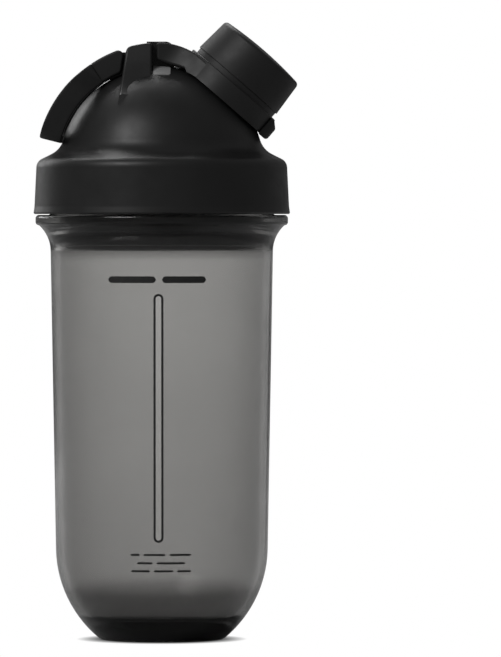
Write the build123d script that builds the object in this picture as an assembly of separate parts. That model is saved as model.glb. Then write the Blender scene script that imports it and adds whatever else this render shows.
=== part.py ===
from build123d import *
from math import atan2, cos, degrees, hypot, pi, radians, sin, sqrt
import os

# Protein shaker bottle, millimetres, +Z up. The origin is the centre of the base pad's underside,
# the spout and flip cap lean towards +X and the carry loop lies over the -X side of the domed lid.

# Bottle body
FOOT_Z = 0.4            # underside of the bottle's foot ring, above the pad's underside
FOOT_ARC = 43.2         # radius of the outer arc between foot and flank
FLANK_FOOT_R = 38.7     # outer radius where the foot arc meets the straight flank
FLANK_FOOT_Z = 33.0
FLANK_TOP_R = 40.6      # outer radius at the top of the straight flank
FLANK_TOP_Z = 142.0
WALL = 2.9
DISH_Z = 4.0            # lowest point of the inner floor
DISH_ARC = 75.0
DISH_EDGE = 5.0         # rounding between the inner floor and the wall
SHOULDER_R = 44.8       # where the concave shoulder arc runs out under the bead
SHOULDER_Z = 151.2
BEAD_R = 46.1
BEAD_TOP_Z = 155.0
NECK_R = 40.7
BORE_R = FLANK_TOP_R - WALL
RIM_Z = 171.8
FOOT_EDGE = 1.0
NECK_EDGE = 0.8         # roundings of the neck, the rim and the bead
RIM_EDGE = 0.7
BEAD_EDGE = 1.3
FAR = 60.0              # reaches past the whole lid, for cuts and slabs

# Base pad
PAD_R = 21.0
PAD_THICK = 1.6
PAD_FIT = 0.1
PAD_EDGE = 0.5
RECESS_EDGE = 0.3

# Screw thread, single start, right hand
LEAD = 6.0
THREAD_TURNS = 1.4
THREAD_Z = 158.8
NECK_THREAD_CREST = 42.4
LID_THREAD_CREST = 41.2
THREAD_ROOT_WIDTH = 3.0
THREAD_CREST_WIDTH = 1.4
THREAD_BITE = 0.4       # how far a ridge's root runs into its wall

# Lid: collar and dome
COLLAR_FOOT_Z = 155.3
COLLAR_FOOT_R = 46.9
COLLAR_MID_R = 46.5
COLLAR_MID_Z = 158.0
COLLAR_TOP_R = 45.7
COLLAR_TOP_Z = 174.5
COLLAR_BORE_R = 43.5
COLLAR_EDGE = 3.6       # fillet at the collar's top
COLLAR_MID_EDGE = 8.0
COLLAR_FOOT_EDGE = 0.6
COLLAR_BORE_EDGE = 0.4
DOME_FOOT_EDGE = 8.5    # fillet where the dome runs out into the shoulder
CEILING_Z = 173.4
DOME_Z = 172.0          # height of the centre of the dome, cap arm and loop arcs
DOME_R = 37.4
SHOULDER_SLOPE = 0.5    # fall of the lid's shoulder towards the collar
LID_WALL = 2.5
DOME_BORE_R = DOME_R - LID_WALL

# Spout liner: sleeve, inner dome and spout
SLEEVE_R = 37.0
SLEEVE_BORE_R = 34.7
SLEEVE_FOOT_Z = 144.3
SLEEVE_FOOT_EDGE = 0.7
SLEEVE_STEP = 4.0       # height and rounding of the step between the inner dome and the sleeve
LINER_R = 34.6
LINER_WALL = 1.8
SPOUT_TILT = 49.0       # elevation of the spout's axis
SPOUT_TOP = 50.0        # distance of the spout's rim from the dome's centre
SPOUT_ROOT_R = 13.3
SPOUT_RIM_R = 12.6
SPOUT_BORE_R = 11.5
SPOUT_HOLE_R = 13.8
SPOUT_EDGE = 0.4
O_RING_Z = 150.0
O_RING_R = 36.7
O_RING_SECTION = 0.85
O_RING_FIT = 0.1

# Lid seal
SEAL_IN_R = 37.9
SEAL_OUT_R = 41.5
SEAL_GAP = 0.15
SEAL_EDGE = 0.3

# Crown bumper
BUMPER_LEFT = -2.9
BUMPER_RIGHT = 3.3
BUMPER_HALF = 16.0
BUMPER_TOP_R = 37.7
BUMPER_FLOOR_R = 36.4
BUMPER_CORNER = 0.8

# Hinge post
POST_TOP_R = 45.8       # arc about the dome's centre, shared with the arm and the loop
POST_RIGHT_X = -3.4
POST_LEFT_X = -12.6     # left face where it meets the top arc
POST_LEFT_Z = 216.7
POST_LEFT_SLOPE = 0.139
POST_LEFT_EDGE = 2.6    # rounding of the post's top corners
POST_RIGHT_EDGE = 0.9
POST_HALF_TOP = 9.8     # half width at the top, mid height and foot
POST_HALF_MID = 14.2
POST_MID_Z = 208.0
POST_HALF_FOOT = 23.6
POST_FOOT_Z = 198.5
POST_FOOT_SLOPE = 0.45
POST_SIDE_EDGE = 0.8
ROOT_R = DOME_R - LID_WALL / 2      # how deep the post and the hinge legs run into the dome's wall
TONGUE_HALF = 4.0
NOTCH_HALF = 4.4        # half width of the slots that the hinge tongues stand in
NOTCH_REACH = 12.0      # how far a slot's cut runs away from its pivot
PIN_R = 1.25
PIN_FIT = 0.02          # radial clearance in the post's knuckles
PIN_RUN = 0.05          # radial clearance in the moving cheeks
PIN_FRONT = -8.0        # the pin's hidden end
PIN_BACK = 9.3          # the pin's end in its open hole
PIN_FLOAT = 0.2         # end play at the blind end
PIN_CHAMFER = 0.25

# Flip cap
CAP_PIVOT_X = 1.5
CAP_PIVOT_R = 43.2      # distance of the pivot from the dome's centre
CAP_KNUCKLE_R = 3.0
CAP_NOTCH = 5.2         # depth of the arm's slot beyond the pivot
ARM_END_X = -1.75
ARM_HALF = 9.8
ARM_EDGE = 0.8
ARM_UNDER_R = 38.6      # the ball-shaped hollow under the arm, ring and tab
ARM_TAIL_R = 39.5       # the arm's underside at its tail, then at its lower edges as (radius, angle)
ARM_EDGE_MID = (37.8, 84.0)
ARM_EDGE_LOW = (37.0, 76.3)
ARM_HAUNCH = (7.75, 216.0)  # a point on the arm's top arc
ARM_JOIN_TOP = 39.7     # distance of the arm's top from the dome's centre where it meets the ring
ARM_FLARE_B = -23.5     # where the arm starts to widen, across the spout's axis
ARM_FLARE_ARC = 12.0
ARM_RING_B = -12.3      # where its widened sides run into the ring
ARM_ROOT_B = -10.0      # how far it runs into the ring
ARM_TAIL_EDGE = 1.0
RING_R = 19.8
RING_BORE_R = 16.8
RING_FOOT = 29.0
RING_TOP = 40.4         # distance of the ring's top plane from the dome's centre
RING_EDGE = 0.4
TAB_REACH = 22.0
TAB_HALF = 8.5
TAB_BOTTOM = 32.8
TAB_TOP = 37.9
TAB_ROOT = 39.9         # height of the tab's ramp where it leaves the ring
TAB_EDGE = 1.2
TAB_CORNER = 3.5
CUP_NECK_R = 18.1
CUP_NECK_TOP = 42.4
CUP_FOOT_R = 18.6
CUP_TOP_R = 17.5
CUP_TOP = 55.9
CUP_CROWN = 1.1
CUP_WALL = 2.0
CUP_TOP_EDGE = 1.6
CUP_FOOT_EDGE = 0.3
SPIGOT_R = 17.7
SPIGOT_WALL = 0.9
SPIGOT_FOOT = 39.1
SPIGOT_FIT = 0.05
PLUG_R = 15.0
PLUG_BOTTOM = 51.8
BOSS_BOTTOM = 49.0
BOSS_FOOT_R = 9.5
BOSS_ROOT_R = 10.3
BOSS_EDGE = 0.6
CAP_SEAL_IN_R = 10.6
CAP_SEAL_OUT_R = 14.4
CAP_SEAL_BOTTOM = 50.15
CAP_SEAL_EDGE = 0.4

# Carry loop
LOOP_GAP = 0.65         # gap between the post's left face and the bracket's end
LOOP_PIVOT_INSET = 2.6  # pivot depth below the outer arc and behind the end face
LOOP_KNUCKLE_R = 2.35
LOOP_NOTCH = 3.3        # depth of the bracket's slot beyond the pivot
LOOP_IN_R = 37.75
LOOP_TIP_R = 37.8       # inner radius at the strap's free end
LOOP_OUT_R = POST_TOP_R
LOOP_HALF = 9.8
LOOP_EDGE = 0.8
LOOP_END_EDGE = 2.0     # rounding of the bracket's end, which clears the post as it swings
STRAP_HALF = 15.5
CREASE_ANGLE = 124.0    # where the soft strap is moulded on to the bracket
STRAP_END_ANGLE = 166.0
STRAP_MID_ANGLE = 145.0
STRAP_FLARE_START = 13.5    # where the strap starts to widen, from its middle
STRAP_FLARE_END = 7.0
STRAP_ROOT_ARC = 3.0        # roundings of the strap's outline
STRAP_FLARE_ARC = 8.0
STRAP_END_CORNER = 7.0
FINGER_HALF = 11.3
FINGER_TOP_HALF = 7.0
FINGER_LOW = -10.8      # the opening's ends along the strap, from its middle
FINGER_NECK = 3.0       # where the opening starts to narrow
FINGER_HIGH = 11.0
FINGER_LOW_CORNER = 5.0
FINGER_TOP_CORNER = 4.0
FINGER_NECK_ARC = 6.0

CENTRE = Vector(0, 0, DOME_Z)
SIDE = Plane(origin=(0, 0, 0), x_dir=(1, 0, 0), z_dir=(0, -1, 0))        # local y is up
FRONT = Plane(origin=(0, 0, 0), x_dir=(0, 1, 0), z_dir=(1, 0, 0))        # local x is +Y, y is up
TILT = radians(SPOUT_TILT)
SPOUT = Plane(origin=(0, 0, DOME_Z), x_dir=(sin(TILT), 0, -cos(TILT)), z_dir=(cos(TILT), 0, sin(TILT)))

CAP_PIVOT = (CAP_PIVOT_X, DOME_Z + sqrt(CAP_PIVOT_R**2 - CAP_PIVOT_X**2))


def rounded(face, *corners):
    """The flat face with each (x, y, radius) corner filleted."""
    for x, y, radius in corners:
        vertex = min(face.vertices(), key=lambda v: hypot(v.X - x, v.Y - y))
        face = fillet([vertex], radius)
    return face


def turned(face):
    """A (radius, height) face turned about the bottle's axis."""
    return revolve(SIDE * face, Axis.Z)


def turned_on_spout(face):
    """A (radius, distance) face turned about the spout's axis."""
    upright = Plane(origin=CENTRE, x_dir=SPOUT.x_dir, z_dir=(0, -1, 0))
    return revolve(upright * face, Axis(SPOUT.origin, SPOUT.z_dir))


def slab(face, half, plane=SIDE):
    """A face in the given plane made into a slab that reaches half to each side."""
    return extrude(plane * face, amount=half, both=True)


def side_point(reach, height):
    """The (x, z) of a point given across and along the spout's axis."""
    point = SPOUT.from_local_coords(Vector(reach, 0, height))
    return point.X, point.Z


def rod(pivot, radius, low, high):
    """A round bar along Y between two distances, through an (x, z) point."""
    shape = Cylinder(radius, high - low, align=(Align.CENTER, Align.CENTER, Align.MIN))
    return Plane(origin=(pivot[0], low, pivot[1]), x_dir=(1, 0, 0), z_dir=(0, 1, 0)) * shape


def spout_rod(radius, start=0):
    """A long round bar on the spout's axis, from a distance along it."""
    return SPOUT * Pos(0, 0, start) * Cylinder(radius, FAR, align=(Align.CENTER, Align.CENTER, Align.MIN))


def ball(radius):
    return Pos(0, 0, DOME_Z) * Sphere(radius)


def ball_height(radius, reach):
    """Height of a sphere's surface above its centre, at a distance from the axis."""
    return sqrt(radius**2 - reach**2)


def on_arc(radius, angle):
    """The (x, z) point on an arc about the dome's centre."""
    return radius * cos(radians(angle)), DOME_Z + radius * sin(radians(angle))


def arc_about(centre, start, end):
    """The shorter arc between two points on a circle about a centre."""
    first = atan2(start[1] - centre[1], start[0] - centre[0])
    turn = atan2(end[1] - centre[1], end[0] - centre[0]) - first
    middle = first + (turn - 2 * pi * round(turn / (2 * pi))) / 2
    radius = hypot(start[0] - centre[0], start[1] - centre[1])
    return ThreePointArc(start, (centre[0] + radius * cos(middle), centre[1] + radius * sin(middle)), end)


def circles_meet(centre_a, radius_a, centre_b, radius_b):
    """The meeting point of two circles that lies further from the axis."""
    dx, dz = centre_b[0] - centre_a[0], centre_b[1] - centre_a[1]
    gap = hypot(dx, dz)
    along = (radius_a**2 - radius_b**2 + gap**2) / (2 * gap)
    across = sqrt(radius_a**2 - along**2)
    foot = centre_a[0] + along * dx / gap, centre_a[1] + along * dz / gap
    ends = [(foot[0] + s * across * dz / gap, foot[1] - s * across * dx / gap) for s in (1, -1)]
    return max(ends)


def thread_ridge(wall_radius, crest_radius, foot_z, start_angle):
    """A trapezoid ridge wound on a wall, pointing outwards or inwards."""
    path = Helix(LEAD, LEAD * THREAD_TURNS, wall_radius)
    height = abs(crest_radius - wall_radius)
    out = 1 if crest_radius > wall_radius else -1
    root, crest = THREAD_ROOT_WIDTH / 2, THREAD_CREST_WIDTH / 2
    outline = Polyline(
        (-out * THREAD_BITE, -root), (out * height, -crest),
        (out * height, crest), (-out * THREAD_BITE, root), close=True,
    )
    start = Plane(origin=path @ 0, x_dir=(1, 0, 0), z_dir=path % 0)
    ridge = sweep(start * make_face(outline), path=path, is_frenet=True)
    return Pos(0, 0, foot_z) * Rot(0, 0, start_angle) * ridge


# Bottle

def bottle_profile():
    lean = atan2(FLANK_TOP_R - FLANK_FOOT_R, FLANK_TOP_Z - FLANK_FOOT_Z)
    centre = (FLANK_FOOT_R - FOOT_ARC * cos(lean), FLANK_FOOT_Z + FOOT_ARC * sin(lean))
    foot_r = centre[0] + sqrt(FOOT_ARC**2 - (centre[1] - FOOT_Z) ** 2)
    inner_arc = FOOT_ARC - WALL
    inner_flank = (centre[0] + inner_arc * cos(lean), centre[1] - inner_arc * sin(lean))
    dish_centre = (0, DISH_Z + DISH_ARC)
    corner = circles_meet(centre, inner_arc, dish_centre, DISH_ARC)
    outline = [
        Polyline((0, PAD_THICK), (PAD_R, PAD_THICK), (PAD_R, FOOT_Z), (foot_r, FOOT_Z)),
        arc_about(centre, (foot_r, FOOT_Z), (FLANK_FOOT_R, FLANK_FOOT_Z)),
        Line((FLANK_FOOT_R, FLANK_FOOT_Z), (FLANK_TOP_R, FLANK_TOP_Z)),
        TangentArc((FLANK_TOP_R, FLANK_TOP_Z), (SHOULDER_R, SHOULDER_Z), tangent=(sin(lean), cos(lean))),
        Polyline(
            (SHOULDER_R, SHOULDER_Z), (BEAD_R, SHOULDER_Z), (BEAD_R, BEAD_TOP_Z), (NECK_R, BEAD_TOP_Z),
            (NECK_R, RIM_Z), (BORE_R, RIM_Z), (BORE_R, FLANK_TOP_Z), inner_flank,
        ),
        arc_about(centre, inner_flank, corner),
        arc_about(dish_centre, corner, (0, DISH_Z)),
        Line((0, DISH_Z), (0, PAD_THICK)),
    ]
    return rounded(
        make_face(outline),
        (foot_r, FOOT_Z, FOOT_EDGE), (PAD_R, FOOT_Z, RECESS_EDGE), (BEAD_R, SHOULDER_Z, BEAD_EDGE),
        (BEAD_R, BEAD_TOP_Z, BEAD_EDGE), (NECK_R, BEAD_TOP_Z, NECK_EDGE), (NECK_R, RIM_Z, RIM_EDGE),
        (BORE_R, RIM_Z, RIM_EDGE), (*corner, DISH_EDGE),
    )


def bottle_body():
    return turned(bottle_profile()) + thread_ridge(NECK_R, NECK_THREAD_CREST, THREAD_Z, 0)


def base_pad():
    radius = PAD_R - PAD_FIT
    outline = Polyline((0, 0), (radius, 0), (radius, PAD_THICK), (0, PAD_THICK), close=True)
    return turned(rounded(make_face(outline), (radius, 0, PAD_EDGE)))


# Lid

def lid_seal():
    low, high = RIM_Z + SEAL_GAP, CEILING_Z - SEAL_GAP
    outline = Polyline(
        (SEAL_IN_R, low), (SEAL_OUT_R, low), (SEAL_OUT_R, high), (SEAL_IN_R, high), close=True,
    )
    return turned(rounded(make_face(outline), (SEAL_IN_R, low, SEAL_EDGE), (SEAL_OUT_R, low, SEAL_EDGE)))


def collar_and_dome():
    """The lid's shell without its post: collar, shoulder and dome in one turned profile."""
    rise = COLLAR_TOP_Z + SHOULDER_SLOPE * COLLAR_TOP_R - DOME_Z
    spread = 1 + SHOULDER_SLOPE**2
    foot_r = (SHOULDER_SLOPE * rise + sqrt(spread * DOME_R**2 - rise**2)) / spread
    foot_z = DOME_Z + rise - SHOULDER_SLOPE * foot_r
    bore_r = sqrt(DOME_BORE_R**2 - (CEILING_Z - DOME_Z) ** 2)
    outline = [
        Polyline(
            (COLLAR_BORE_R, COLLAR_FOOT_Z), (COLLAR_FOOT_R, COLLAR_FOOT_Z), (COLLAR_MID_R, COLLAR_MID_Z),
            (COLLAR_TOP_R, COLLAR_TOP_Z), (foot_r, foot_z),
        ),
        arc_about((0, DOME_Z), (foot_r, foot_z), (0, DOME_Z + DOME_R)),
        Line((0, DOME_Z + DOME_R), (0, DOME_Z + DOME_BORE_R)),
        arc_about((0, DOME_Z), (0, DOME_Z + DOME_BORE_R), (bore_r, CEILING_Z)),
        Polyline((bore_r, CEILING_Z), (COLLAR_BORE_R, CEILING_Z), (COLLAR_BORE_R, COLLAR_FOOT_Z)),
    ]
    face = rounded(
        make_face(outline),
        (COLLAR_FOOT_R, COLLAR_FOOT_Z, COLLAR_FOOT_EDGE), (COLLAR_MID_R, COLLAR_MID_Z, COLLAR_MID_EDGE),
        (COLLAR_TOP_R, COLLAR_TOP_Z, COLLAR_EDGE), (foot_r, foot_z, DOME_FOOT_EDGE),
        (COLLAR_BORE_R, COLLAR_FOOT_Z, COLLAR_BORE_EDGE),
    )
    return turned(face)


def post_left_x(z):
    return POST_LEFT_X - POST_LEFT_SLOPE * (POST_LEFT_Z - z)


def loop_pivot():
    """The loop's pivot: set in from the outer arc and from the bracket's end face."""
    radius = LOOP_OUT_R - LOOP_PIVOT_INSET
    behind = LOOP_GAP + LOOP_PIVOT_INSET
    length = hypot(1, POST_LEFT_SLOPE)
    angle = 100.0
    while True:
        x, z = on_arc(radius, angle)
        if (post_left_x(z) - x) / length >= behind:
            return x, z
        angle += 0.01


LOOP_PIVOT = loop_pivot()


def post():
    """The hinge post, which flares into a saddle over the front and back of the dome."""
    top_z = DOME_Z + POST_TOP_R
    foot_z = DOME_Z + DOME_R / 2
    half_foot = POST_HALF_FOOT + (POST_FOOT_Z - foot_z) * POST_FOOT_SLOPE
    top, middle, foot = (POST_HALF_TOP, top_z), (POST_HALF_MID, POST_MID_Z), (POST_HALF_FOOT, POST_FOOT_Z)
    front = make_face([
        ThreePointArc(top, middle, foot),
        Polyline(foot, (half_foot, foot_z), (-half_foot, foot_z), (-foot[0], foot[1])),
        ThreePointArc((-foot[0], foot[1]), (-middle[0], middle[1]), (-top[0], top[1])),
        Line((-top[0], top[1]), top),
    ])
    above = top_z + 2
    side = make_face(Polyline(
        (POST_RIGHT_X, foot_z), (POST_RIGHT_X, above), (post_left_x(above), above),
        (post_left_x(foot_z), foot_z), close=True,
    ))
    side = rounded(
        side & (Pos(0, DOME_Z) * Circle(POST_TOP_R)),
        (POST_LEFT_X, POST_LEFT_Z, POST_LEFT_EDGE), (POST_RIGHT_X, top_z, POST_RIGHT_EDGE),
    )
    block = slab(front, FAR, FRONT) & slab(side, FAR)
    upper = block.edges().filter_by(lambda edge: edge.center().Z > foot_z + POST_HALF_TOP / 2)
    return fillet(upper.filter_by(lambda edge: abs(edge.center().Y) > POST_HALF_TOP - 0.1), POST_SIDE_EDGE)


def hinge_leg(pivot, radius, root_x):
    """A leg from the dome to a pivot, joined to the post, with a round knuckle at its top."""
    x, z = pivot
    far_x = x + radius if x > root_x else x - radius
    leg = make_face(Polyline(
        (root_x, DOME_Z + ball_height(ROOT_R, root_x)), (far_x, DOME_Z + ball_height(ROOT_R, far_x)),
        (far_x, z), (x, z), (x, z + radius), (root_x, z + radius), close=True,
    ))
    return slab(leg + Pos(x, z) * Circle(radius), TONGUE_HALF)


def lid_shell():
    shell = collar_and_dome() + (post() - ball(ROOT_R))
    shell += hinge_leg(CAP_PIVOT, CAP_KNUCKLE_R, POST_RIGHT_X - 2)
    shell += hinge_leg(LOOP_PIVOT, LOOP_KNUCKLE_R, post_left_x(LOOP_PIVOT[1]) + 2)
    shell += thread_ridge(COLLAR_BORE_R, LID_THREAD_CREST, THREAD_Z, 180)
    shell -= crown_bumper()
    for pivot in (CAP_PIVOT, LOOP_PIVOT):
        shell -= rod(pivot, PIN_R + PIN_FIT, -TONGUE_HALF - 1, TONGUE_HALF + 1)
    return shell - spout_rod(SPOUT_HOLE_R)


def spout_liner():
    inner_r = LINER_R - LINER_WALL
    land_r = sqrt(LINER_R**2 - (CEILING_Z - DOME_Z) ** 2)
    step_z = DOME_Z - SLEEVE_STEP
    outline = [
        Polyline(
            (SLEEVE_BORE_R, SLEEVE_FOOT_Z), (SLEEVE_R, SLEEVE_FOOT_Z), (SLEEVE_R, CEILING_Z),
            (land_r, CEILING_Z),
        ),
        arc_about((0, DOME_Z), (land_r, CEILING_Z), (0, DOME_Z + LINER_R)),
        Line((0, DOME_Z + LINER_R), (0, DOME_Z + inner_r)),
        arc_about((0, DOME_Z), (0, DOME_Z + inner_r), (inner_r, DOME_Z)),
        Polyline((inner_r, DOME_Z), (SLEEVE_BORE_R, step_z), (SLEEVE_BORE_R, SLEEVE_FOOT_Z)),
    ]
    face = rounded(
        make_face(outline), (SLEEVE_R, SLEEVE_FOOT_Z, SLEEVE_FOOT_EDGE),
        (SLEEVE_BORE_R, SLEEVE_FOOT_Z, SLEEVE_FOOT_EDGE), (SLEEVE_BORE_R, step_z, SLEEVE_STEP),
    )
    half = O_RING_SECTION + O_RING_FIT
    groove = make_face(Polyline(
        (O_RING_R - O_RING_SECTION, O_RING_Z - half), (SLEEVE_R + 1, O_RING_Z - half),
        (SLEEVE_R + 1, O_RING_Z + half), (O_RING_R - O_RING_SECTION, O_RING_Z + half), close=True,
    ))
    body = turned(face - groove)
    spout = turned_on_spout(rounded(
        make_face([
            Polyline(
                (SPOUT_BORE_R, ball_height(inner_r, SPOUT_BORE_R)), (SPOUT_BORE_R, SPOUT_TOP),
                (SPOUT_RIM_R, SPOUT_TOP), (SPOUT_ROOT_R, LINER_R),
                (SPOUT_ROOT_R, ball_height(inner_r, SPOUT_ROOT_R)),
            ),
            arc_about((0, 0), (SPOUT_ROOT_R, ball_height(inner_r, SPOUT_ROOT_R)),
                      (SPOUT_BORE_R, ball_height(inner_r, SPOUT_BORE_R))),
        ]),
        (SPOUT_RIM_R, SPOUT_TOP, SPOUT_EDGE), (SPOUT_BORE_R, SPOUT_TOP, SPOUT_EDGE),
    ))
    return (body - spout_rod((SPOUT_BORE_R + SPOUT_ROOT_R) / 2)) + spout


def sleeve_o_ring():
    return Pos(0, 0, O_RING_Z) * Torus(O_RING_R, O_RING_SECTION)


def hinge_pin(pivot):
    pin = rod(pivot, PIN_R, PIN_FRONT, PIN_BACK)
    return chamfer(pin.edges().filter_by(GeomType.CIRCLE), PIN_CHAMFER)


# Flip cap

def cap_ring():
    """The ring round the spout."""
    inner = RING_BORE_R - 1
    outline = Polyline(
        (inner, RING_FOOT), (RING_R, RING_FOOT), (RING_R, RING_TOP), (inner, RING_TOP), close=True,
    )
    return turned_on_spout(rounded(make_face(outline), (RING_R, RING_TOP, RING_EDGE)))


def cap_tab():
    """The thumb tab at the ring's far side: a short ramp with a rounded outline."""
    start = (RING_BORE_R + RING_R) / 2
    low, high = side_point(TAB_REACH, TAB_BOTTOM), side_point(TAB_REACH, TAB_TOP)
    profile = rounded(
        make_face(Polyline(
            side_point(start, TAB_BOTTOM), low, high, side_point(RING_R, TAB_ROOT),
            side_point(start, TAB_ROOT), close=True,
        )),
        (*low, TAB_EDGE), (*high, TAB_EDGE),
    )
    outline = rounded(
        make_face(Polyline(
            (0, -TAB_HALF), (TAB_REACH, -TAB_HALF), (TAB_REACH, TAB_HALF), (0, TAB_HALF), close=True,
        )),
        (TAB_REACH, -TAB_HALF, TAB_CORNER), (TAB_REACH, TAB_HALF, TAB_CORNER),
    )
    return slab(profile, FAR) & (SPOUT * extrude(outline, amount=FAR))


def arm_core():
    """The arm from its tail to the ring, with rounded upper edges."""
    tail = (ARM_END_X, DOME_Z + ball_height(POST_TOP_R, ARM_END_X))
    tail_low = (ARM_END_X, DOME_Z + ball_height(ARM_TAIL_R, ARM_END_X))
    join = side_point(-RING_BORE_R - 0.5, ARM_JOIN_TOP)
    low = on_arc(*ARM_EDGE_LOW)
    side = rounded(
        make_face([
            Line(tail_low, tail),
            ThreePointArc(tail, ARM_HAUNCH, join),
            Polyline(join, side_point(ARM_ROOT_B, ARM_JOIN_TOP), side_point(ARM_ROOT_B, RING_FOOT), low),
            ThreePointArc(low, on_arc(*ARM_EDGE_MID), tail_low),
        ]),
        (*tail_low, ARM_TAIL_EDGE), (*tail, ARM_EDGE),
    )
    ring_y, root_y = ball_height(RING_R, ARM_RING_B), ball_height(RING_BORE_R, ARM_ROOT_B)
    plan = rounded(
        make_face(Polyline(
            (-FAR, -ARM_HALF), (ARM_FLARE_B, -ARM_HALF), (ARM_RING_B, -ring_y), (ARM_ROOT_B, -root_y),
            (ARM_ROOT_B, root_y), (ARM_RING_B, ring_y), (ARM_FLARE_B, ARM_HALF), (-FAR, ARM_HALF),
            close=True,
        )),
        (ARM_FLARE_B, -ARM_HALF, ARM_FLARE_ARC), (ARM_FLARE_B, ARM_HALF, ARM_FLARE_ARC),
    )
    arm = slab(side, FAR) & (SPOUT * extrude(plan, amount=FAR))
    return fillet(arm_upper_edges(arm), ARM_EDGE)


def arm_upper_edges(arm):
    """The arm's two upper edges and the upright edges of its tail."""
    chosen = []
    for edge in arm.edges():
        points = [edge @ t for t in (0, 0.25, 0.5, 0.75, 1)]
        side = all(abs(p.Y) > ARM_HALF - 0.02 for p in points)
        upper = all(hypot(p.X, p.Z - DOME_Z) > ARM_TAIL_R + 2 for p in points)
        upright = all(abs(p.X - ARM_END_X) < 0.02 for p in points)
        if side and (upper or upright):
            chosen.append(edge)
    return chosen


def cap_arm():
    """The arm, the ring and the thumb tab as one moulding, hollowed to clear the dome."""
    blank = arm_core() + cap_ring() + cap_tab()
    blank -= spout_rod(RING_BORE_R)
    blank -= spout_rod(SPIGOT_R + SPIGOT_FIT, SPIGOT_FOOT)
    return fork(blank - SPOUT * Sphere(ARM_UNDER_R), CAP_PIVOT, CAP_NOTCH)


def fork(arm, pivot, depth):
    """Cuts the slot between the cheeks and the pin's holes, one blind and one open at the back."""
    x, z = pivot
    toward = 1 if x > POST_RIGHT_X else -1
    low, high = sorted((x - toward * NOTCH_REACH, x + toward * depth))
    notch = make_face(Polyline(
        (low, z - NOTCH_REACH), (high, z - NOTCH_REACH), (high, z + NOTCH_REACH), (low, z + NOTCH_REACH),
        close=True,
    ))
    return arm - slab(notch, NOTCH_HALF) - rod(pivot, PIN_R + PIN_RUN, PIN_FRONT - PIN_FLOAT, FAR)


def cap_cup():
    """The cap's cup: a drafted wall and crowned top on a short neck, with a spigot into the ring."""
    crown = CUP_TOP + CUP_CROWN
    crown_arc = (CUP_TOP_R**2 + CUP_CROWN**2) / (2 * CUP_CROWN)
    inside_r, inside_top = CUP_TOP_R - CUP_WALL, CUP_TOP - CUP_WALL
    face = make_face([
        Polyline(
            (SPIGOT_R - SPIGOT_WALL, SPIGOT_FOOT), (SPIGOT_R, SPIGOT_FOOT), (SPIGOT_R, RING_TOP),
            (CUP_NECK_R, RING_TOP), (CUP_NECK_R, CUP_NECK_TOP), (CUP_FOOT_R, CUP_NECK_TOP),
            (CUP_TOP_R, CUP_TOP),
        ),
        arc_about((0, crown - crown_arc), (CUP_TOP_R, CUP_TOP), (0, crown)),
        Polyline(
            (0, crown), (0, inside_top), (inside_r, inside_top), (SPIGOT_R - SPIGOT_WALL, RING_TOP + 1),
            (SPIGOT_R - SPIGOT_WALL, SPIGOT_FOOT),
        ),
    ])
    return turned_on_spout(rounded(
        face, (CUP_TOP_R, CUP_TOP, CUP_TOP_EDGE), (CUP_FOOT_R, CUP_NECK_TOP, CUP_FOOT_EDGE),
        (inside_r, inside_top, CUP_FOOT_EDGE),
    ))


def cap_plug():
    top = CUP_TOP - CUP_WALL
    face = make_face(Polyline(
        (0, BOSS_BOTTOM), (BOSS_FOOT_R, BOSS_BOTTOM), (BOSS_ROOT_R, PLUG_BOTTOM), (PLUG_R, PLUG_BOTTOM),
        (PLUG_R, top), (0, top), close=True,
    ))
    return turned_on_spout(rounded(face, (BOSS_FOOT_R, BOSS_BOTTOM, BOSS_EDGE)))


def cap_seal():
    face = make_face(Polyline(
        (CAP_SEAL_IN_R, CAP_SEAL_BOTTOM), (CAP_SEAL_OUT_R, CAP_SEAL_BOTTOM), (CAP_SEAL_OUT_R, PLUG_BOTTOM),
        (CAP_SEAL_IN_R, PLUG_BOTTOM), close=True,
    ))
    return turned_on_spout(rounded(face, (CAP_SEAL_OUT_R, CAP_SEAL_BOTTOM, CAP_SEAL_EDGE)))


# Carry loop

def arc_sector(low_angle, high_angle, tip_r=LOOP_IN_R):
    """The loop's side outline between two angles about the dome's centre."""
    middle = (low_angle + high_angle) / 2
    outer_low, outer_high = on_arc(LOOP_OUT_R, low_angle), on_arc(LOOP_OUT_R, high_angle)
    inner_low, inner_high = on_arc(LOOP_IN_R, low_angle), on_arc(tip_r, high_angle)
    return make_face([
        ThreePointArc(outer_low, on_arc(LOOP_OUT_R, middle), outer_high),
        Line(outer_high, inner_high),
        ThreePointArc(inner_high, on_arc((LOOP_IN_R + tip_r) / 2, middle), inner_low),
        Line(inner_low, outer_low),
    ])


def end_face_cut():
    """Everything to the right of the bracket's end face, in the side plane."""
    shift = LOOP_GAP * hypot(1, POST_LEFT_SLOPE)
    low, high = DOME_Z, DOME_Z + FAR
    return make_face(Polyline(
        (post_left_x(low) - shift, low), (FAR, low), (FAR, high), (post_left_x(high) - shift, high),
        close=True,
    ))


def loop_bracket():
    """The stiff part of the loop, from its hinge to the crease."""
    side = arc_sector(95, CREASE_ANGLE) - end_face_cut()
    end_x = post_left_x(LOOP_PIVOT[1]) - 3 * LOOP_GAP
    ends = sorted((v for v in side.vertices() if v.X > end_x), key=lambda v: v.Y)
    side = fillet([ends[0]], LOOP_END_EDGE)
    top = max((v for v in side.vertices() if v.X > end_x), key=lambda v: v.Y)
    side = fillet([top], LOOP_END_EDGE)
    bracket = slab(side, LOOP_HALF)
    sides = [e for e in bracket.edges() if abs(e.center().Y) > LOOP_HALF - 0.01 and not at_crease(e)]
    return fork(fillet(sides, LOOP_EDGE), LOOP_PIVOT, LOOP_NOTCH)


def at_crease(edge):
    """Whether an edge lies in the face where the bracket and the strap meet."""
    middle = edge.center()
    return degrees(atan2(middle.Z - DOME_Z, middle.X)) > CREASE_ANGLE - 0.1


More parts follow.
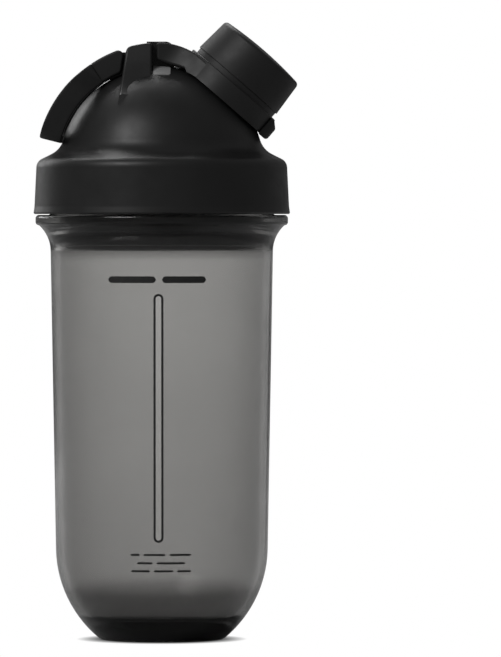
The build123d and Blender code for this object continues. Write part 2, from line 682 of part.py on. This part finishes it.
def strap_plane():
    """The plane square to the strap's middle: local x runs up the strap, local y is +Y."""
    mid = radians(STRAP_MID_ANGLE)
    return Plane(origin=CENTRE, x_dir=(sin(mid), 0, -cos(mid)), z_dir=(cos(mid), 0, sin(mid)))


def loop_strap():
    root = LOOP_OUT_R * sin(radians(STRAP_MID_ANGLE - CREASE_ANGLE)) + 1
    end = -LOOP_OUT_R * sin(radians(STRAP_END_ANGLE - STRAP_MID_ANGLE))
    outline = rounded(
        make_face(Polyline(
            (end, -STRAP_HALF), (STRAP_FLARE_END, -STRAP_HALF), (STRAP_FLARE_START, -LOOP_HALF),
            (root, -LOOP_HALF), (root, LOOP_HALF), (STRAP_FLARE_START, LOOP_HALF),
            (STRAP_FLARE_END, STRAP_HALF), (end, STRAP_HALF), close=True,
        )),
        (end, -STRAP_HALF, STRAP_END_CORNER), (end, STRAP_HALF, STRAP_END_CORNER),
        (STRAP_FLARE_END, -STRAP_HALF, STRAP_FLARE_ARC), (STRAP_FLARE_END, STRAP_HALF, STRAP_FLARE_ARC),
        (STRAP_FLARE_START, -LOOP_HALF, STRAP_ROOT_ARC), (STRAP_FLARE_START, LOOP_HALF, STRAP_ROOT_ARC),
    )
    opening = rounded(
        make_face(Polyline(
            (FINGER_LOW, -FINGER_HALF), (FINGER_NECK, -FINGER_HALF), (FINGER_HIGH, -FINGER_TOP_HALF),
            (FINGER_HIGH, FINGER_TOP_HALF), (FINGER_NECK, FINGER_HALF), (FINGER_LOW, FINGER_HALF),
            close=True,
        )),
        (FINGER_LOW, -FINGER_HALF, FINGER_LOW_CORNER), (FINGER_LOW, FINGER_HALF, FINGER_LOW_CORNER),
        (FINGER_HIGH, -FINGER_TOP_HALF, FINGER_TOP_CORNER), (FINGER_HIGH, FINGER_TOP_HALF, FINGER_TOP_CORNER),
        (FINGER_NECK, -FINGER_HALF, FINGER_NECK_ARC), (FINGER_NECK, FINGER_HALF, FINGER_NECK_ARC),
    )
    outer = strap_plane() * extrude(outline, amount=FAR)
    hole = strap_plane() * extrude(opening, amount=FAR)
    return (slab(arc_sector(CREASE_ANGLE, STRAP_END_ANGLE, LOOP_TIP_R), FAR) & outer) - hole


def crown_bumper():
    """The pad let into the dome's crown, which also passes under the cap hinge's leg."""
    width, middle = BUMPER_RIGHT - BUMPER_LEFT, (BUMPER_LEFT + BUMPER_RIGHT) / 2
    outline = Pos(middle, 0) * RectangleRounded(width, 2 * BUMPER_HALF, BUMPER_CORNER)
    return (Pos(0, 0, DOME_Z) * extrude(outline, amount=FAR)) & (ball(BUMPER_TOP_R) - ball(BUMPER_FLOOR_R))


PARTS = {
    "bottle_body": bottle_body,
    "base_pad": base_pad,
    "lid_seal": lid_seal,
    "lid_shell": lid_shell,
    "spout_liner": spout_liner,
    "sleeve_o_ring": sleeve_o_ring,
    "cap_hinge_pin": lambda: hinge_pin(CAP_PIVOT),
    "loop_hinge_pin": lambda: hinge_pin(LOOP_PIVOT),
    "cap_arm": cap_arm,
    "cap_cup": cap_cup,
    "cap_plug": cap_plug,
    "cap_seal": cap_seal,
    "crown_bumper": crown_bumper,
    "loop_strap": loop_strap,
    "loop_bracket": loop_bracket,
}

os.makedirs("parts", exist_ok=True)
for name, make in PARTS.items():
    shape = make()
    export_step(shape, f"parts/{name}.step")
    print(name, round(shape.volume, 1), len(shape.solids()), shape.is_valid)
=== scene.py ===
import bpy
from math import cos, pi, sin, sqrt
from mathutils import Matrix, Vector
from mathutils.bvhtree import BVHTree


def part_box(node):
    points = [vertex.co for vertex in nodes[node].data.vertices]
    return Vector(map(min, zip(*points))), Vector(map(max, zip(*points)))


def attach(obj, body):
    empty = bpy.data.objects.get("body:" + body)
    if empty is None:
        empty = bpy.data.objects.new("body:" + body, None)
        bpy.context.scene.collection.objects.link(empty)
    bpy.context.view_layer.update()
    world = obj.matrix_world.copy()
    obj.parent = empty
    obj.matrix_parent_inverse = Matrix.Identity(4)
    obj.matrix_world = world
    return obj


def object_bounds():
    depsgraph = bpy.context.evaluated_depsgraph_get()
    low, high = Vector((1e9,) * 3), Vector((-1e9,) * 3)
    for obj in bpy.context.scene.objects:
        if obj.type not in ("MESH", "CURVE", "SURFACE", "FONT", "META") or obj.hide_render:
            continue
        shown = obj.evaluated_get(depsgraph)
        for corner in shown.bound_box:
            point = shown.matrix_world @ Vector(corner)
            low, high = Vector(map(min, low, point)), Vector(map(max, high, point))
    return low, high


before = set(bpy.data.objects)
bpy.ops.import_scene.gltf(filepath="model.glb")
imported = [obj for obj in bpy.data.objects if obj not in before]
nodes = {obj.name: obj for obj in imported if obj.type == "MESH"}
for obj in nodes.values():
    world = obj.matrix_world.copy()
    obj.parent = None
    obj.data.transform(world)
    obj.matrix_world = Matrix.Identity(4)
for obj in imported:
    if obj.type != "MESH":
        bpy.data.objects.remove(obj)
cad_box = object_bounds()

MM = 0.001
BODY_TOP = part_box("bottle_body")[1].z

# Camera: a long lens, almost level
VIEW_X = 0.0324                     # the bottle stands left of the picture's middle
EYE = Vector((VIEW_X, -2.5, 0.155))
AIM = Vector((VIEW_X, 0, 0.1135))
LENS, SENSOR = 375, 36              # mm
CLIP_NEAR, CLIP_FAR = 0.05, 50

# Stage: it looks white, and lights the object less than it looks
WORLD_SEEN, WORLD_LIT = 1.0, 0.16
FLOOR_HALF = 6.0
FLOOR_GREY = 0.4
CONTACT = 6 * MM                    # reach of the faint painted shadow round the foot

LIGHTS = (                          # name, place, target, size, watts
    ("key", (-1.1, -1.15, 1.4), (0, 0, 0.17), (0.9, 0.8), 13),
    ("top", (-0.3, 1.25, 1.6), (0, 0, 0.2), (1.2, 0.6), 15),
    ("back_left", (-0.9, 1.1, 0.6), (0, 0, 0.17), (0.7, 0.7), 3),
)

# Smoke plastic
SMOKE_AND_PAINTED_SHADE = (                           # (height in mm, grey) of the tint, with painted shade: darker towards the foot, and darker from just below the lid upwards
    (0, 0.36), (9, 0.30), (17, 0.32), (20.5, 0.61),
    (25, 0.65), (50, 0.68), (138.5, 0.78), (144.5, 0.36),
)
EDGE_TINT = (                       # (slant, grey), face-on to glancing, multiplied in
    (0.0, 1.0), (0.24, 0.92), (0.4, 0.82), (0.65, 0.69), (1.0, 0.42),
)
DRIFT = ((0.3, 0.96), (0.7, 1.0))   # (noise, grey), a faint cloudiness
OUTSIDE_CAPSULE = 0.8               # tint outside the clearer capsule on the front
SMOKE_GREY, SMOKE_DENSITY = 0.5, 110.0
WARMTH = (1, 0.998, 0.994)          # the tints are slightly warm greys

# Printed marks on the front; the two tables are in mm
MARK_X = -0.7 * MM                  # the capsule's centre line
CAPSULE_LOW, CAPSULE_HIGH = 37.4 * MM, 126.2 * MM
CAPSULE_HALF = 1.7 * MM
CAPSULE_INSET = 0.3 * MM            # from there in to the middle of its printed line
CAPSULE_LINE = 0.8 * MM
BAR_Z, BAR_HALF = 131.7 * MM, 1.2 * MM
UPPER_BARS = ((-18.8, -1.6), (0.6, 16.4))
DASH_HALF = 0.38 * MM
LOWER_ROWS = (                      # (height, dashes), plain rows near the foot
    (32.6, ((-10.9, -7.4), (-6.2, 1.9), (3.2, 11.1))),
    (29.6, ((-8.5, -2.7), (-1.5, 9.0))),
    (26.7, ((-10.7, -3.7), (-2.5, 4.7), (5.9, 11.1))),
)

# The strap's soft edges
WELD = 0.01 * MM
STRAP_VOXEL = 0.3 * MM
STRAP_TURNS = 9


# Camera, lights and stage

def make_camera():
    data = bpy.data.cameras.new("camera")
    data.lens = LENS
    data.sensor_width = SENSOR
    data.clip_start, data.clip_end = CLIP_NEAR, CLIP_FAR
    camera = bpy.data.objects.new("camera", data)
    camera.location = EYE
    camera.rotation_mode = "QUATERNION"
    camera.rotation_quaternion = (AIM - EYE).to_track_quat("-Z", "Y")
    bpy.context.scene.collection.objects.link(camera)
    bpy.context.scene.camera = camera


def softbox(name, place, target, size, watts):
    data = bpy.data.lights.new(name, "AREA")
    data.shape = "RECTANGLE"
    data.size, data.size_y = size
    data.energy = watts
    light = bpy.data.objects.new(name, data)
    light.location = place
    light.rotation_mode = "QUATERNION"
    aim = Vector(target) - Vector(place)
    light.rotation_quaternion = aim.to_track_quat("-Z", "Y")
    bpy.context.scene.collection.objects.link(light)


def seen_or_lit(tree, seen, lit):
    """One shader for the camera and for looking through the bottle, another for all light."""
    path = tree.nodes.new("ShaderNodeLightPath")
    either = tree.nodes.new("ShaderNodeMath")
    either.operation = "MAXIMUM"
    tree.links.new(path.outputs["Is Camera Ray"], either.inputs[0])
    tree.links.new(path.outputs["Is Transmission Ray"], either.inputs[1])
    mix = tree.nodes.new("ShaderNodeMixShader")
    tree.links.new(either.outputs[0], mix.inputs["Fac"])
    tree.links.new(lit.outputs[0], mix.inputs[1])
    tree.links.new(seen.outputs[0], mix.inputs[2])
    return mix.outputs[0]


def make_world():
    world = bpy.data.worlds.new("studio")
    bpy.context.scene.world = world
    world.use_nodes = True
    tree = world.node_tree
    tree.nodes.clear()
    skies = []
    for strength in (WORLD_SEEN, WORLD_LIT):
        sky = tree.nodes.new("ShaderNodeBackground")
        sky.inputs["Color"].default_value = (1, 1, 1, 1)
        sky.inputs["Strength"].default_value = strength
        skies.append(sky)
    out = tree.nodes.new("ShaderNodeOutputWorld")
    tree.links.new(seen_or_lit(tree, *skies), out.inputs["Surface"])


def pale_floor():
    material = bpy.data.materials.new("pale_floor")
    material.use_nodes = True
    tree = material.node_tree
    shader = tree.nodes["Principled BSDF"]
    shader.inputs["Base Color"].default_value = (FLOOR_GREY, FLOOR_GREY, FLOOR_GREY, 1)
    shader.inputs["Roughness"].default_value = 0.9
    shader.inputs["Specular IOR Level"].default_value = 0.1
    # painted shadow: the floor's glow takes its colour from ambient occlusion, so it is darker
    # close to the foot
    shade = tree.nodes.new("ShaderNodeAmbientOcclusion")
    shade.inputs["Distance"].default_value = CONTACT
    glow = tree.nodes.new("ShaderNodeEmission")
    tree.links.new(shade.outputs["Color"], glow.inputs["Color"])
    out = tree.nodes["Material Output"]
    tree.links.new(seen_or_lit(tree, glow, shader), out.inputs["Surface"])
    return material


def make_floor():
    mesh = bpy.data.meshes.new("floor")
    half = FLOOR_HALF
    corners = [(-half, -half, 0), (half, -half, 0), (half, half, 0), (-half, half, 0)]
    mesh.from_pydata(corners, [], [(0, 1, 2, 3)])
    mesh.materials.append(pale_floor())
    floor = bpy.data.objects.new("floor", mesh)
    floor.location.z = cad_box[0].z
    bpy.context.scene.collection.objects.link(floor)


# Materials

def grey(value):
    return (value, value, value)


class Surface:
    """A Principled material with helpers for its textures, in the part's own coordinates.

    Its keywords are the shader's inputs, with _ for a space.
    """

    def __init__(self, name, **inputs):
        self.material = bpy.data.materials.new(name)
        self.material.use_nodes = True
        self.tree = self.material.node_tree
        self.shader = self.tree.nodes["Principled BSDF"]
        self.place = self.node("ShaderNodeTexCoord").outputs["Object"]
        for key, value in inputs.items():
            self.shader.inputs[key.replace("_", " ")].default_value = value

    def node(self, kind, **values):
        made = self.tree.nodes.new(kind)
        for key, value in values.items():
            setattr(made, key, value)
        return made

    def link(self, source, target):
        self.tree.links.new(source, target)

    def noise(self, scale, detail):
        made = self.node("ShaderNodeTexNoise")
        self.link(self.place, made.inputs["Vector"])
        made.inputs["Scale"].default_value = scale
        made.inputs["Detail"].default_value = detail
        made.inputs["Roughness"].default_value = 0.55
        return made.outputs["Fac"]

    def spread(self, source, low, high, from_low=0.3, from_high=0.7):
        """Stretches a value, by default a noise's usual range, to low..high."""
        made = self.node("ShaderNodeMapRange")
        self.link(source, made.inputs["Value"])
        made.inputs["From Min"].default_value = from_low
        made.inputs["From Max"].default_value = from_high
        made.inputs["To Min"].default_value = low
        made.inputs["To Max"].default_value = high
        return made.outputs["Result"]

    def uneven(self, low, high, scale, detail):
        """A value that drifts between two limits."""
        return self.spread(self.noise(scale, detail), low, high)

    def maths(self, operation, first, second=0.0):
        made = self.node("ShaderNodeMath", operation=operation)
        for value, target in ((first, made.inputs[0]), (second, made.inputs[1])):
            if isinstance(value, (int, float)):
                target.default_value = value
            else:
                self.link(value, target)
        return made.outputs[0]

    def ramp(self, source, *stops):
        """A colour ramp of (position, grey) stops."""
        made = self.node("ShaderNodeValToRGB")
        self.link(source, made.inputs[0])
        points = made.color_ramp.elements
        while len(points) < len(stops):
            points.new(0.5)         # moved to its place below
        for point, (position, value) in zip(points, stops):
            point.position = position
            point.color = (*(value * part for part in WARMTH), 1)
        return made.outputs["Color"]

    def times(self, first, second):
        made = self.node("ShaderNodeMix", data_type="RGBA", blend_type="MULTIPLY")
        made.inputs["Factor"].default_value = 1.0
        self.link(first, made.inputs["A"])
        self.link(second, made.inputs["B"])
        return made.outputs["Result"]

    def colour(self, source):
        self.link(source, self.shader.inputs["Base Color"])

    def mottle(self, dark, light, scale, detail):
        """A colour that drifts between two tones."""
        made = self.node("ShaderNodeMix", data_type="RGBA")
        self.link(self.uneven(0, 1, scale, detail), made.inputs["Factor"])
        made.inputs["A"].default_value = (*dark, 1)
        made.inputs["B"].default_value = (*light, 1)
        self.colour(made.outputs["Result"])

    def roughness(self, source):
        self.link(source, self.shader.inputs["Roughness"])

    def bump(self, strength, depth, scale, detail, below=None):
        """Noise relief on the shader's normal, over an earlier relief where one is given."""
        made = self.node("ShaderNodeBump")
        made.inputs["Strength"].default_value = strength
        made.inputs["Distance"].default_value = depth
        self.link(self.noise(scale, detail), made.inputs["Height"])
        if below:
            self.link(below, made.inputs["Normal"])
        self.link(made.outputs["Normal"], self.shader.inputs["Normal"])
        return made.outputs["Normal"]


def moulded_black(name, dark, light, rough):
    """Satin moulded plastic: eroded grain, faint flow marks, a handling sheen on the edges."""
    surface = Surface(name, IOR=1.49)
    surface.mottle(dark, light, scale=60, detail=2)
    pointed = surface.node("ShaderNodeNewGeometry").outputs["Pointiness"]
    sheen = surface.spread(pointed, 0.0, 0.08, from_low=0.52, from_high=0.6)
    satin = surface.uneven(rough - 0.05, rough + 0.06, scale=140, detail=4)
    surface.roughness(surface.maths("SUBTRACT", satin, sheen))
    flow = surface.bump(0.04, depth=0.4 * MM, scale=45, detail=2)
    surface.bump(0.12, depth=0.06 * MM, scale=3200, detail=2, below=flow)
    return surface.material


def capsule_window(surface, x, y, z):
    """One inside the printed capsule on the front, nought elsewhere."""
    middle = (CAPSULE_LOW + CAPSULE_HIGH) / 2
    straight = (CAPSULE_HIGH - CAPSULE_LOW) / 2 - CAPSULE_HALF
    across = surface.maths("ABSOLUTE", surface.maths("SUBTRACT", x, MARK_X))
    along = surface.maths("ABSOLUTE", surface.maths("SUBTRACT", z, middle))
    along = surface.maths("MAXIMUM", surface.maths("SUBTRACT", along, straight), 0.0)
    squares = (surface.maths("POWER", side, 2.0) for side in (across, along))
    apart = surface.maths("SQRT", surface.maths("ADD", *squares))
    inside = surface.maths("LESS_THAN", apart, CAPSULE_HALF)
    front = surface.maths("LESS_THAN", y, 0.0)
    return surface.maths("MULTIPLY", inside, front)


def smoke_plastic(name):
    """Clear smoke-grey plastic, faintly mottled, darker at its edges, with painted shade towards
    its foot and from just below the lid upwards.
    """
    surface = Surface(name, IOR=1.45, Transmission_Weight=1.0)
    parts = surface.node("ShaderNodeSeparateXYZ")
    surface.link(surface.place, parts.inputs[0])
    x, y, z = parts.outputs
    height = surface.maths("DIVIDE", z, BODY_TOP)
    # painted shade: the tint darkens towards the foot, and from just below the lid upwards
    tint_with_shade = surface.ramp(height, *((mm * MM / BODY_TOP, value) for mm, value in SMOKE_AND_PAINTED_SHADE))
    drift = surface.ramp(surface.noise(scale=30, detail=3), *DRIFT)
    window = surface.ramp(capsule_window(surface, x, y, z), (0.0, OUTSIDE_CAPSULE), (1.0, 1.0))
    slant = surface.node("ShaderNodeLayerWeight").outputs["Facing"]
    tone = surface.times(surface.times(tint_with_shade, drift), window)
    surface.colour(surface.times(tone, surface.ramp(slant, *EDGE_TINT)))
    surface.roughness(surface.uneven(0.1, 0.15, scale=90, detail=3))
    wave = surface.bump(0.05, depth=0.5 * MM, scale=30, detail=2)
    surface.bump(0.05, depth=0.05 * MM, scale=2600, detail=3, below=wave)
    volume = surface.node("ShaderNodeVolumeAbsorption")
    volume.inputs["Color"].default_value = (*grey(SMOKE_GREY), 1)
    volume.inputs["Density"].default_value = SMOKE_DENSITY
    surface.link(volume.outputs[0], surface.tree.nodes["Material Output"].inputs["Volume"])
    return surface.material


def silicone(name, dark, light, rough=0.62):
    """Matt silicone or rubber, with a trace of sheen."""
    surface = Surface(name, IOR=1.42, Sheen_Weight=0.08)
    surface.mottle(dark, light, scale=110, detail=3)
    surface.roughness(surface.uneven(rough - 0.06, rough + 0.06, scale=300, detail=3))
    surface.bump(0.15, depth=0.08 * MM, scale=1800, detail=3)
    return surface.material


def ground_steel(name):
    """Bright ground steel, for the pins."""
    surface = Surface(name, Metallic=1.0)
    surface.mottle(grey(0.5), (0.62, 0.61, 0.6), scale=500, detail=2)
    surface.roughness(surface.uneven(0.22, 0.36, scale=1500, detail=3))
    surface.bump(0.08, depth=0.03 * MM, scale=4000, detail=2)
    return surface.material


def printed_ink(name):
    """Pad-printed dark grey ink, slightly uneven."""
    surface = Surface(name, IOR=1.5)
    surface.mottle(grey(0.012), grey(0.025), scale=900, detail=3)
    surface.roughness(surface.uneven(0.45, 0.6, scale=700, detail=2))
    surface.bump(0.1, depth=0.02 * MM, scale=2500, detail=2)
    return surface.material


def dress(material, *names):
    """Gives CAD nodes their material."""
    for name in names:
        data = nodes[name].data
        data.materials.clear()
        data.materials.append(material)


# Shapes

class Print:
    """Ink marks laid on the bottle's front, each a strip of short faces that follows the wall."""

    STEP = 0.6 * MM
    LIFT = 0.03 * MM
    INK = 0.04 * MM
    IN_FRONT = -0.1             # y from which the wall is looked for
    FEWEST = 8                  # steps in the shortest bar
    BLUNT = 0.1                 # half height of a bar's tip, as a share of the bar's
    TURNS = 16                  # steps round each end of a capsule

    def __init__(self, name, material):
        depsgraph = bpy.context.evaluated_depsgraph_get()
        self.wall = BVHTree.FromObject(nodes["bottle_body"], depsgraph)
        self.name, self.material = name, material
        self.points, self.faces = [], []

    def on_wall(self, x, z):
        spot = self.wall.ray_cast(Vector((x, self.IN_FRONT, z)), Vector((0, 1, 0)))[0]
        out = Vector((spot.x, spot.y, 0)).normalized()
        return spot + out * self.LIFT

    def strip(self, pairs, closed=False):
        """A strip between two rows of (x, z) points."""
        start = len(self.points)
        for pair in pairs:
            self.points += [self.on_wall(*point) for point in pair]
        count = len(pairs)
        for i in range(count if closed else count - 1):
            a, b = start + 2 * i, start + 2 * ((i + 1) % count)
            self.faces.append((a, b, b + 1, a + 1))

    def bar(self, left, right, z, half):
        """A plain bar with round ends."""
        count = max(self.FEWEST, round((right - left) / self.STEP))
        pairs = []
        for i in range(count + 1):
            x = left + (right - left) * i / count
            inset = min(x - left, right - x, half)
            reach = sqrt(max(half**2 - (half - inset) ** 2, (self.BLUNT * half) ** 2))
            pairs.append(((x, z + reach), (x, z - reach)))
        self.strip(pairs)

    def capsule(self, x, low, high, half, line):
        """An upright capsule's outline: each end, then the side that follows it."""
        edges = (half + line / 2, half - line / 2)
        top, foot = high - half, low + half
        rises = round((high - low) / self.STEP)
        pairs = []
        for side, start, end in ((1, top, foot), (-1, foot, top)):
            for i in range(self.TURNS + 1):
                across = side * cos(pi * i / self.TURNS)
                up = side * sin(pi * i / self.TURNS)
                pairs.append(tuple((x + r * across, start + r * up) for r in edges))
            for i in range(1, rises):
                z = start + (end - start) * i / rises
                pairs.append(tuple((x - side * r, z) for r in edges))
        self.strip(pairs, closed=True)

    def place(self):
        mesh = bpy.data.meshes.new(self.name)
        mesh.from_pydata(self.points, [], self.faces)
        mesh.materials.append(self.material)
        piece = bpy.data.objects.new(self.name, mesh)
        bpy.context.scene.collection.objects.link(piece)
        body = piece.modifiers.new("ink", "SOLIDIFY")
        body.thickness = self.INK
        body.offset = 0
        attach(piece, "bottle")


def print_marks():
    ink = printed_ink("printed_ink")
    capsule = Print("capsule_mark", ink)
    capsule.capsule(MARK_X, CAPSULE_LOW, CAPSULE_HIGH, CAPSULE_HALF - CAPSULE_INSET, CAPSULE_LINE)
    capsule.place()
    bars = Print("upper_bars", ink)
    for left, right in UPPER_BARS:
        bars.bar(left * MM, right * MM, BAR_Z, BAR_HALF)
    bars.place()
    lines = Print("lower_lines", ink)
    for z, dashes in LOWER_ROWS:
        for left, right in dashes:
            lines.bar(left * MM, right * MM, z * MM, DASH_HALF)
    lines.place()


def soften(name, voxel, turns):
    """Rounds a rubber node's edges: a fine remesh, then smoothing."""
    piece = nodes[name]
    piece.modifiers.new("weld", "WELD").merge_threshold = WELD
    remesh = piece.modifiers.new("remesh", "REMESH")
    remesh.mode = "VOXEL"
    remesh.voxel_size = voxel
    remesh.use_smooth_shade = True
    smooth = piece.modifiers.new("smooth", "SMOOTH")
    smooth.factor = 0.5
    smooth.iterations = turns


make_camera()
make_world()
make_floor()
for light in LIGHTS:
    softbox(*light)

dress(smoke_plastic("smoke_plastic"), "bottle_body")
dress(moulded_black("lid_plastic", grey(0.012), grey(0.016), rough=0.42), "lid_shell")
dress(moulded_black("cap_plastic", grey(0.011), grey(0.015), rough=0.52),
      "cap_arm", "cap_cup", "loop_bracket")
dress(moulded_black("liner_plastic", grey(0.014), grey(0.018), rough=0.35),
      "spout_liner", "cap_plug")
dress(silicone("strap_rubber", grey(0.010), grey(0.014), rough=0.55), "loop_strap")
dress(silicone("pad_rubber", grey(0.06), grey(0.08), rough=0.7), "base_pad")
dress(silicone("seal_silicone", (0.12, 0.12, 0.125), (0.16, 0.16, 0.165)),
      "lid_seal", "sleeve_o_ring", "cap_seal")
# painted highlight: the pale grey of this strip on the dome's crown stands in for light falling
# there through the hinge notch
dress(silicone("bumper_painted_highlight", grey(0.3), grey(0.36)), "crown_bumper")
dress(ground_steel("pin_steel"), "cap_hinge_pin", "loop_hinge_pin")
soften("loop_strap", STRAP_VOXEL, STRAP_TURNS)
print_marks()

bpy.context.scene.view_settings.view_transform = "Standard"
